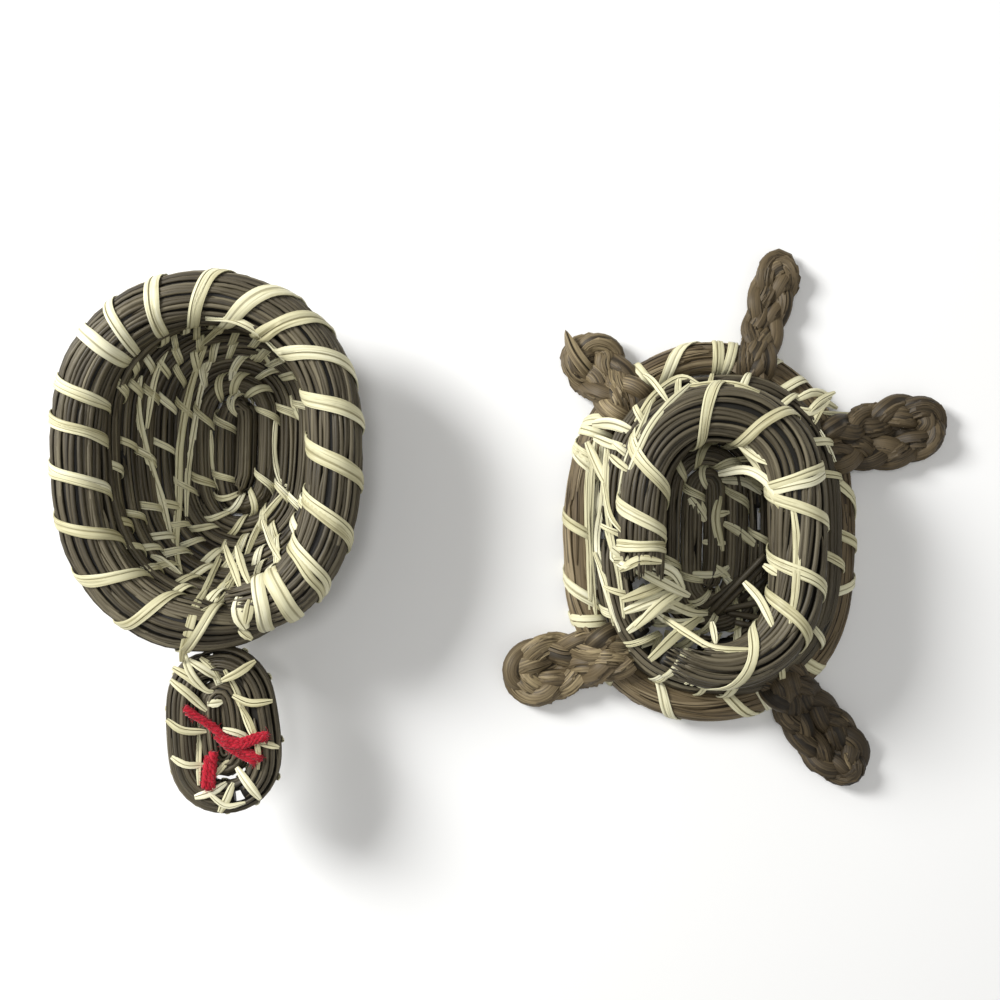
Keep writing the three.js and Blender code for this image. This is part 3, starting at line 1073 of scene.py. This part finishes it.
def plait(tangle, path, size, pitch, tones):
    """Three rolled strips plaited along a path that lies flat, with loose edges of leaf over them."""
    along = lengths_along(path)
    side = unit(np.cross(unit(np.gradient(path, axis=0)), UPRIGHT))
    start = random.uniform(0, TURN)
    for strand in range(3):
        phase = TURN * (along / pitch + strand / 3) + start + drift(along, 16, 0.3)
        sway = np.sin(phase) * size * SWAY
        dip = np.sin(2 * phase) * size * DIP
        middle = path + side * sway[:, None] + UPRIGHT * dip[:, None]
        tone = random.uniform(*tones)
        leaf_roll(tangle, middle, size * 1.2, size * 1.2 * FLATNESS, 5, 0.06, tone, 0.3, 32)
        for _ in range(LOOSE_EDGES):
            turned = random.uniform(0.5, 2.6)
            across, high = side * math.cos(turned), UPRIGHT * math.sin(turned)
            lying = middle + across * size * 1.14 + high * size * 0.86
            first = random.integers(0, max(1, len(path) - 20))
            part = slice(first, first + random.integers(14, 20))
            width, away = size * random.uniform(0.7, 1.1), across * FLATNESS + high
            strip(tangle, lying[part], away[part], width, 0.3, (0.2, 0.2), random.uniform(*tones))


print("a plait is", FLATNESS, "times as high as it is wide")

# %% [markdown]
# Each limb is one plait that goes out over the foot ring, bends round at the tip and comes back
# beside itself. The path is the same for all five: it is listed for one arm, and mirrored for the
# other. Only the root, the tip, the size and the tones of the leaf differ, and two feet end in a leaf tip.

# %% The feet and the tail
# root, tip, half the way between the two arms, thickness, and how dark or light the leaf is
LIMBS = {
    "tail": ((63.8, 42.0), (73.0, 73.2), 2.5, 1.95, (0.2, 0.65)),
    "foot_tail_end_left": ((30.2, 31.4), (15.6, 49.4), 4.3, 2.35, (0.3, 0.95)),
    "foot_tail_end_right": ((84.0, 20.0), (117.0, 27.3), 4.9, 2.4, (0.1, 0.55)),
    "foot_head_end_left": ((25.4, -34.6), (-4.0, -43.6), 4.4, 2.45, (0.35, 0.95)),
    "foot_head_end_right": ((71.6, -43.0), (93.4, -70.0), 4.3, 2.3, (0.12, 0.65)),
}
LEAF_TIPS = {
    "foot_tail_end_left": (3.6, [(22.5, 38.0, 3.5), (18.6, 41.5, 7.2), (15.6, 45.8, 7.4), (13.6, 51.2, 5.8)]),
    "foot_head_end_right": (2.8, [(88.5, -62.0, 6.4), (90.6, -65.6, 5.8), (92.6, -70.2, 3.4)]),
}


def limb_path(root, tip, spread, size):
    axis = unit(tip - root)
    across = np.array([-axis[1], axis[0]])
    reach = np.linalg.norm(tip - root) - size * 2.0
    # each place is how far out along the limb, how far to the side, and how high
    places = [(-4, 0.6, 8.0), (1.5, 0.6, 9.4), (6.5, 0.62, 6.6), (11, 0.78, 4.0)]
    places += [(reach * 0.74, 1.0, 3.4), (reach * 0.93, 0.66, 3.4), (reach, 0, 3.4)]
    places += [(far, -aside, height) for far, aside, height in places[-2::-1]]
    guides = [np.append(root + axis * far + across * aside * spread, height) for far, aside, height in places]
    return curve_through(guides, 0.9)


for name, (root, tip, spread, size, tones) in LIMBS.items():
    limb = Tangle()
    path = limb_path(np.array(root), np.array(tip), spread, size)
    plait(limb, path, size, random.uniform(22, 27), tones)
    if name in LEAF_TIPS:
        width, guides = LEAF_TIPS[name]
        strip(limb, curve_through(guides, 0.8), UPRIGHT, width, 0.4, (0.25, 0.03), 0.95)
    piece(limb, name + "_braid", braid_look, [name], sharp=30)

# %% [markdown]
# ## The loose strips
#
# Where the sewing is untidy, no rule places the raffia: strips run along a coil, cross the break, double
# back and end anywhere. Each is given by a few guide points, as it is seen from above. A line of sight
# from the eye through each point finds the surface that the strip lies on. A shrinkwrap could do the same,
# but only straight down. Then the strip is eased over the hollows on its way, as a pulled strip is: it may
# fall towards them no steeper than it is told. A few strips span a hollow, and have two heights.

# %% Lay strips where they are seen
GUIDE_STEP = 1.1
SINK = 0.7  # how far the ends of a strip are tucked in
PULLED = 0.78  # a strip that is pulled tight is narrower than it looks when it lies flat


def lines_of_sight(*tangles):
    """The strands made so far, as surfaces that lines of sight can be tested against."""
    trees = []
    for tangle in tangles:
        faces = [tuple(face) for group in tangle.faces for face in group.tolist()]
        trees.append(BVHTree.FromPolygons(np.concatenate(tangle.corners).tolist(), faces))
        print("lines of sight are stopped by", len(faces), "faces")
    return trees


def from_eye(guides):
    """The lines from the eye to a smooth row of guide points on the level of the rims."""
    flat = curve_through(guides, GUIDE_STEP)
    return np.column_stack([flat, np.full(len(flat), RIM_LEVEL)]) - EYE


def bridge(guides, first, last):
    """A path that spans a hollow from one height to another, bowed up a little."""
    lines = from_eye(guides)
    share = np.linspace(0, 1, len(lines))
    height = first + (last - first) * share + 1.2 * np.sin(share * math.pi)
    return EYE + lines * ((EYE[2] - height) / (EYE[2] - RIM_LEVEL))[:, None]


def seen(surfaces, guides, lift, steep):
    """A path on the surfaces that are seen at the guide points, lifted off them."""
    aims = unit(from_eye(guides))
    far = []
    for aim in aims:
        hits = [tree.ray_cast(EYE.tolist(), aim.tolist())[3] for tree in surfaces]
        far.append(min([hit for hit in hits if hit is not None], default=np.nan))
    far = np.array(far)
    known = np.flatnonzero(np.isfinite(far))
    steps = np.arange(len(far))
    beyond = np.abs(steps[:, None] - known[None]).min(axis=1)
    far = np.interp(steps, known, far[known])
    apart = np.abs(steps[:, None] - steps[None]) * GUIDE_STEP
    far = (far[None] + steep * apart).min(axis=1) + 0.9 * beyond
    padded = np.pad(far, 2, mode="edge")
    far = np.mean([padded[i : i + len(far)] for i in range(5)], axis=0)
    return EYE + aims * (far - lift)[:, None]


def lay(tangle, surfaces, strips, lift=0.6, steep=0.6):
    """Strips, each as its width, its guide points and, where it spans a hollow, its two heights."""
    for width, guides, *heights in strips:
        path = bridge(guides, *heights) if heights else seen(surfaces, guides, lift, steep)
        share = np.linspace(0, 1, len(path))
        path[:, 2] -= SINK * (np.exp(-share * len(path) / 2) + np.exp(-(1 - share) * len(path) / 2))
        strip(tangle, path, unit(EYE - path), width * PULLED, narrow=(0.55, 0.45))
    print(len(strips), "loose strips are laid")


# %% [markdown]
# The foot ring is tied on by stitches that pass over the leaf. They stand higher off it than a stitch over
# needles does, because the leaf is uneven. The ring starts on the right, so a turn before its start is
# counted as one on the second time round.

# %% Tie the foot ring
FOOT_RING_STITCHES = [
    (0.054, 0.009, 3.0),
    (0.072, 0.061, 2.8),
    (0.093, 0.062, 2.8),
    (0.141, 0.127, 3.4),
    (0.223, 0.204, 2.6),
    (0.242, 0.255, 2.8),
    (0.262, 0.303, 2.8),
    (0.387, 0.406, 2.6),
    (0.422, 0.441, 2.6),
    (0.442, 0.459, 2.6),
    (0.474, 0.482, 2.8),
    (0.49, 0.491, 2.8),
    (0.519, 0.581, 2.8),
    (0.585, 0.583, 2.8),
    (0.668, 0.641, 3.2),
    (0.674, 0.672, 2.8),
    (0.69, 0.704, 2.8),
    (0.69, 0.717, 2.8),
    (0.74, 0.756, 2.8),
    (0.775, 0.807, 3.0),
    (0.807, 0.819, 3.4),
    (0.828, 0.859, 2.8),
    (0.878, 0.867, 2.8),
    (0.961, 0.92, 2.8),
]
for outer, inner, width in FOOT_RING_STITCHES:
    first, last = (foot_ring.length_at(turn + (turn < FOOT_RING_START)) for turn in (outer, inner))
    stitch(base_raffia, foot_ring, first, last, width, angles=(-75, 215), lift=0.85, pull=0)
print(len(FOOT_RING_STITCHES), "stitches tie the foot ring")

# %% [markdown]
# The lower half has the most loose strips: long ones down its left side, a knot of them across the break,
# short ends on the floor and a tangle at the root of the right foot. Scattering them by chance would be
# shorter to write, but each shows clearly, so each has a place of its own.

# %% Loose strips of the lower half
BASE_STRIPS = [
    (2.2, [(20.3, 24.2), (19.1, 10.7), (18.6, -4.3), (19.1, -14.3), (20.1, -23.8)]),
    (1.8, [(21.8, 23.2), (20.6, 8.2), (19.6, -5.6), (20.3, -16.8)]),
    (1.8, [(18.6, 20.7), (17.8, 5.7), (18.3, -9.3), (18.6, -21.8)]),
    (2.0, [(22.8, 20.7), (21.6, 5.7), (20.3, -6.3), (23.3, -19.3), (26.1, -27.3)]),
    (1.6, [(19.6, -7.3), (22.6, -15.6), (24.6, -25.8)]),
    (1.8, [(23.3, 19.5), (22.6, 8.0), (23.6, -2.0), (25.6, -12.0), (27.1, -24.0)]),
    (1.7, [(22.6, -2.0), (25.0, -10.0), (27.4, -21.0)]),
    (1.6, [(22.0, 10.0), (23.6, 2.0), (26.8, -2.5)]),
    (3.2, [(17.8, 20.2), (20.6, 14.0), (23.3, 8.4)]),
    (2.8, [(23.7, 16.9), (26.2, 14.6), (28.6, 12.9)]),
    (3.8, [(19.2, 24.7), (24.0, 24.8), (29.6, 22.8)]),
    (3.2, [(19.6, 21.4), (23.8, 19.6), (27.8, 18.8)]),
    (2.6, [(30.1, 25.2), (34.8, 31.9), (41.1, 36.2), (46.1, 34.7)]),
    (2.2, [(28.6, 13.2), (33.1, 23.2), (38.1, 29.7), (43.6, 34.7)]),
    (1.6, [(25.6, 5.7), (27.6, 15.7), (31.1, 23.2), (34.1, 30.7)]),
    (2.2, [(38.1, 30.4), (34.1, 35.7), (32.1, 37.2)]),
    (1.8, [(43.6, 34.4), (53.6, 34.9), (61.1, 32.7)]),
    (2.6, [(69.3, 4.9), (70.3, -4.3), (70.1, -14.3), (68.8, -25.3)]),
    (2.4, [(36.1, -23.1), (43.6, -28.1), (49.8, -31.3), (59.8, -31.8)]),
    (3.6, [(24.1, -6.3), (31.1, -11.8), (38.1, -15.6), (43.6, -18.3)], 30, 20),
    (3.4, [(24.6, -9.3), (32.3, -9.8), (39.1, -12.3), (42.1, -16.8)], 31, 21),
    (3.6, [(26.6, -19.3), (33.6, -16.8), (39.1, -14.3), (42.1, -16.3)], 24, 19.5),
    (4.0, [(27.3, -22.3), (34.8, -19.3), (42.1, -17.3)], 23, 19),
    (3.4, [(28.1, -27.3), (34.8, -22.3), (41.6, -18.3)], 22, 18.5),
    (3.2, [(30.1, -26.3), (36.1, -20.3), (42.1, -16.3)], 23, 20),
    (3.0, [(26.1, -11.8), (31.1, -9.3), (36.6, -9.8)]),
    (3.6, [(33.6, -34.3), (41.1, -27.3), (46.6, -23.3)], 31, 15),
    (2.6, [(34.1, -21.8), (39.1, -24.8), (47.3, -24.3)], 20, 14),
    (3.0, [(31.1, -16.8), (36.6, -19.3), (43.6, -22.3), (48.1, -22.8)], 23, 14),
    (2.6, [(25.1, -6.3), (24.3, -8.3), (27.1, -10.8), (29.6, -9.3)]),
    (3.0, [(50.8, 12.2), (57.3, 13.2), (62.3, 10.7), (66.1, 5.7)]),
    (2.8, [(51.6, 10.7), (57.3, 10.2), (61.6, 7.2)]),
    (2.6, [(55.3, 20.4), (59.8, 16.9), (63.3, 14.9)]),
    (2.4, [(56.1, 19.2), (61.1, 13.2), (65.1, 5.7), (67.1, 2.7)]),
    (3.2, [(43.6, 6.2), (45.6, 3.2), (47.6, 0.4)]),
    (2.6, [(45.6, 6.2), (47.6, 1.7)]),
    (3.2, [(51.1, 6.7), (50.1, 0.7), (51.8, -7.1)]),
    (2.4, [(46.8, -4.8), (52.6, -5.1)]),
    (3.0, [(52.1, -0.1), (56.1, -2.3), (60.6, -6.1)]),
    (2.4, [(48.6, 1.7), (53.6, 2.7)]),
    (2.6, [(43.6, -12.8), (49.8, -12.8), (53.6, -10.8)]),
    (2.6, [(49.8, -10.8), (51.6, -12.3), (53.6, -13.8)]),
    (3.0, [(57.3, -14.8), (61.1, -19.3), (64.6, -26.3)]),
    (2.6, [(62.1, -10.6), (66.1, -13.1)]),
    (2.2, [(49.1, -24.8), (50.1, -30.3)]),
    (2.8, [(78.6, 30.7), (74.1, 27.7), (71.1, 28.7)]),
    (3.0, [(70.1, 30.7), (74.8, 32.7), (79.1, 31.2)]),
    (2.4, [(74.1, 24.2), (77.3, 29.7), (80.6, 28.7)]),
    (2.2, [(72.6, 26.9), (76.1, 30.7), (80.1, 32.7)]),
    (2.0, [(76.1, 23.2), (79.1, 16.9), (80.1, 15.2)]),
    (1.6, [(75.6, 27.7), (81.6, 27.2), (86.6, 27.2)]),
]
lay(base_raffia, lines_of_sight(base_needles, leaf_ring), BASE_STRIPS)
piece(base_raffia, "base_raffia", raffia_look, sharp=50)

# %% [markdown]
# In the shell, long strips run down over the floor, and short ones cross at its head end. They follow the
# wall closely, so they may fall steeply. The three over the end of the rim lie higher and flatter.

# %% Loose strips of the shell
SHELL_STRIPS = [
    (2.6, [(-77.7, 44.4), (-81.4, 33.2), (-83.7, 20.7), (-84.4, 5.7), (-84.9, -5.6), (-83.7, -13.1)]),
    (2.2, [(-75.9, 41.9), (-78.4, 34.4), (-79.9, 25.7), (-81.9, 13.2), (-82.4, 0.7)]),
    (2.4, [(-93.9, 36.9), (-94.4, 29.4), (-92.4, 18.2), (-88.4, 5.7), (-85.9, -5.6)]),
    (2.0, [(-87.4, 43.2), (-90.2, 35.7), (-92.4, 23.2)]),
    (2.4, [(-77.7, 51.2), (-70.2, 50.7), (-63.4, 46.9), (-57.7, 40.7)]),
    (2.2, [(-78.9, 44.4), (-72.7, 49.4), (-67.7, 50.7)]),
    (2.0, [(-59.9, 26.9), (-60.4, 18.2), (-58.9, 10.7), (-56.9, 9.2)]),
    (2.2, [(-56.4, 31.9), (-53.9, 25.7)]),
    (2.2, [(-68.7, 41.9), (-70.9, 36.2), (-68.9, 31.7)]),
    (2.4, [(-66.4, 41.2), (-63.4, 42.7), (-60.2, 38.2)]),
    (1.8, [(-76.4, 23.2), (-75.4, 13.2), (-74.2, 8.2)]),
    (2.2, [(-56.9, 8.7), (-63.4, 0.7), (-67.9, -9.3)]),
    (2.6, [(-68.9, -9.3), (-72.4, -15.6), (-75.4, -20.8)]),
    (2.2, [(-72.4, -4.3), (-74.9, -10.6), (-78.9, -19.3)]),
    (2.0, [(-69.9, -13.1), (-73.4, -19.3), (-78.9, -22.3)]),
    (2.4, [(-83.9, -13.1), (-88.9, -9.3), (-91.4, -8.3)]),
    (2.6, [(-69.9, -5.8), (-67.9, -12.3), (-66.4, -15.8)]),
    (2.4, [(-72.9, -5.6), (-70.4, -11.8), (-68.9, -16.8)]),
    (2.2, [(-63.4, 0.7), (-60.9, -5.6), (-58.9, -9.3)]),
    (2.8, [(-77.7, -16.8), (-79.9, -20.8), (-81.4, -25.6), (-83.2, -31.8), (-83.7, -34.8)]),
]
RIM_END_STRIPS = [
    (4.6, [(-69.2, -18.6), (-69.2, -22.3), (-67.4, -26.6)]),
    (3.0, [(-66.4, -19.3), (-67.0, -22.8), (-67.6, -25.4)]),
    (2.6, [(-69.4, -26.6), (-66.0, -29.2)]),
]
lid_surface = lines_of_sight(lid_needles)
lay(lid_raffia, lid_surface, SHELL_STRIPS, steep=2.4)
lay(lid_raffia, lid_surface, RIM_END_STRIPS, lift=0.9, steep=0.3)
piece(lid_raffia, "shell_raffia", raffia_look, sharp=50)

# %% [markdown]
# The head is sewn with single strips, from its edge over one or both loops. A rule would space them too
# evenly, so they are laid like the loose strips. A row of short stitches underneath holds the outer loop.

# %% Sew the head
HEAD_STRIPS = [
    (2.4, [(-83.2, -31.8), (-81.4, -37.3), (-77.7, -41.8), (-75.7, -42.3)]),
    (2.6, [(-85.9, -36.3), (-81.4, -38.8), (-77.4, -42.3)]),
    (2.6, [(-86.4, -39.3), (-81.9, -42.8), (-77.4, -47.1)]),
    (2.4, [(-81.9, -34.3), (-78.4, -36.3), (-74.9, -38.8)]),
    (2.4, [(-78.9, -33.8), (-75.9, -36.3), (-73.9, -39.8)]),
    (2.6, [(-73.7, -39.6), (-69.9, -37.8), (-65.2, -34.6)]),
    (2.2, [(-75.4, -37.3), (-74.4, -40.3), (-73.4, -39.8)]),
    (2.0, [(-72.9, -36.8), (-69.9, -41.8), (-67.4, -49.3), (-64.4, -56.3)]),
    (2.4, [(-70.9, -43.3), (-66.4, -45.1), (-60.9, -44.6)]),
    (2.4, [(-87.4, -49.3), (-83.4, -51.8), (-77.4, -52.3)]),
    (2.4, [(-86.2, -58.6), (-82.4, -60.6), (-77.9, -60.6)]),
    (2.6, [(-80.4, -68.8), (-75.9, -67.3), (-72.4, -65.1)]),
    (2.6, [(-74.2, -72.6), (-72.4, -69.3), (-70.7, -65.1)]),
    (2.6, [(-69.9, -61.3), (-66.9, -65.3), (-63.9, -69.3)]),
    (2.2, [(-64.4, -55.3), (-61.9, -55.6), (-59.2, -56.3)]),
    (1.8, [(-79.4, -48.3), (-79.2, -56.8), (-79.4, -65.8)]),
    (1.8, [(-69.9, -44.3), (-66.4, -49.8), (-64.4, -56.8), (-64.4, -61.8)]),
    (1.8, [(-77.7, -66.8), (-72.7, -70.8), (-67.7, -70.1)]),
    (2.6, [(-77.2, -45.3), (-75.4, -45.1), (-73.4, -44.8)]),
    (2.2, [(-73.4, -51.6), (-68.9, -52.8), (-65.9, -54.8)]),
    (2.0, [(-75.2, -63.3), (-71.9, -59.3)]),
]
head_raffia = Tangle()
head_surface = lines_of_sight(head_needles, lid_needles)
lay(head_raffia, head_surface, HEAD_STRIPS, lift=0.95, steep=0.3)
for place in np.arange(0.62, 1.5, 0.085):
    here = head_outer.length_at(place)
    stitch(head_raffia, head_outer, here, here + 1.5, 2.4, angles=(190, 350), pull=0)
piece(head_raffia, "head_raffia", raffia_look, sharp=50)

# %% [markdown]
# ## The red yarn
#
# The yarn is soft: each float is a bunch of thin plies that turn about each other, with a fuzz of short
# hairs. Hair particles would have to be turned into a mesh for the model, so the hairs are thin strands
# too, each with one bend.

# %% The red yarn
YARN = [
    (2.0, [(-82.7, -46.3), (-78.9, -48.8), (-74.9, -51.3), (-72.9, -53.8), (-69.4, -56.3), (-63.4, -59.1)]),
    (2.0, [(-82.2, -47.3), (-77.9, -49.8), (-73.9, -52.8), (-70.9, -55.3), (-66.4, -57.3), (-63.9, -58.8)]),
    (2.0, [(-73.4, -53.8), (-68.9, -54.6), (-64.9, -53.3), (-61.9, -52.8)]),
    (2.0, [(-72.9, -55.3), (-68.4, -55.8), (-65.4, -54.6), (-62.2, -53.6)]),
    (1.8, [(-74.9, -53.3), (-71.4, -56.6), (-64.9, -60.1)]),
    (2.2, [(-75.7, -57.3), (-76.2, -61.3), (-76.9, -66.8)]),
    (2.2, [(-76.7, -58.3), (-77.4, -62.3), (-77.7, -66.3)]),
    (2.0, [(-75.2, -57.8), (-75.7, -62.3), (-75.9, -66.3)]),
]
PLIES = 4
PLY_PITCH = 5.5
HAIRS_A_MILLIMETRE = 9
yarn = Tangle()
for width, guides in YARN:
    path = seen(head_surface, guides, lift=0.9, steep=0.25)
    along = lengths_along(path)
    up = unit(EYE - path)
    side = unit(np.cross(np.gradient(path, axis=0), up))
    for ply in range(PLIES):
        phase = TURN * (along / PLY_PITCH + ply / PLIES)
        across, high = np.cos(phase) * width * 0.28, np.sin(phase) * width * 0.24
        middle = path + side * across[:, None] + up * high[:, None]
        yarn.sweep(middle, up, circle(7, width * 0.24, width * 0.24), random.uniform(0.3, 0.9))
    for _ in range(int(along[-1] * HAIRS_A_MILLIMETRE)):
        here = random.integers(0, len(path))
        turned = random.uniform(0, math.pi)
        root = path[here] + (side[here] * math.cos(turned) + up[here] * math.sin(turned)) * width * 0.42
        hair = unit(random.normal(size=3) + up[here] * 0.7) * random.uniform(0.5, 1.3)
        bend = root + hair * 0.5 + random.normal(size=3) * 0.12
        tip = root + hair
        yarn.sweep([root, bend, tip], [0.1, 0.2, 1.0], circle(3, 0.045, 0.045), random.uniform(0.5, 1.0))
piece(yarn, "yarn", yarn_look)

# %% [markdown]
# ## The stage
#
# The basket lies on white paper. A plain sheet, a good deal larger than the picture, takes the soft
# shadows that tell how high each part stands.

# %% The sheet of paper
SHEET_HALF = 2  # metres
corners = [(x * SHEET_HALF, y * SHEET_HALF, 0) for x, y in ((-1, -1), (1, -1), (1, 1), (-1, 1))]
floor_mesh = bpy.data.meshes.new("floor")
floor_mesh.from_pydata(corners, [], [(0, 1, 2, 3)])
floor = bpy.data.objects.new("floor", floor_mesh)
bpy.context.scene.collection.objects.link(floor)
paper = Shader("paper")
paper.set(Base_Color=(0.86, 0.86, 0.85, 1), Roughness=0.9)
floor.data.materials.append(paper.material)
print("the sheet is", 2 * SHEET_HALF, "m wide")

# %% [markdown]
# Most of the light comes from a soft lamp low on the left, towards the tail. A small one straight above
# reaches into the hollows, a broad weak one opposite keeps the shadows open, and the world adds a
# little light from everywhere. Sunlight would make the shadows between the needles too hard.

# %% Light
world = bpy.data.worlds.new("studio")
world.use_nodes = True
sky = world.node_tree.nodes["Background"]
sky.inputs["Color"].default_value = (1.0, 0.99, 0.97, 1)
sky.inputs["Strength"].default_value = 0.33
bpy.context.scene.world = world


def lamp(name, place, power, size):
    """A square lamp, in metres and watts, that looks at the middle of the basket."""
    light = bpy.data.lights.new(name, "AREA")
    light.energy, light.size = power, size
    obj = bpy.data.objects.new(name, light)
    obj.location = place
    obj.rotation_euler = (-Vector(place)).to_track_quat("-Z", "Y").to_euler()
    bpy.context.scene.collection.objects.link(obj)
    print("the", name, "lamp has", power, "W")


lamp("key", (-0.72, 0.42, 0.58), 14.0, 0.34)
lamp("top", (-0.05, 0.06, 0.8), 1.2, 0.15)
lamp("fill", (0.6, -0.5, 0.9), 1.2, 0.8)

# %% [markdown]
# The camera looks straight down from the eye, near enough that the rims appear larger than the floors,
# which is how the heights of the real basket were judged. The standard view keeps white paper white.

# %% Camera
FOCAL_LENGTH = 48.96
SENSOR_WIDTH = 36
camera = bpy.data.cameras.new("camera")
camera.lens, camera.sensor_width = FOCAL_LENGTH, SENSOR_WIDTH
view = bpy.data.objects.new("camera", camera)
view.location = EYE * MILLIMETRE
bpy.context.scene.collection.objects.link(view)
bpy.context.scene.camera = view
bpy.context.scene.view_settings.view_transform = "Standard"
seen_width = (EYE[2] - RIM_LEVEL) * SENSOR_WIDTH / FOCAL_LENGTH
print("at the level of the rims the picture is", round(seen_width), "mm wide")
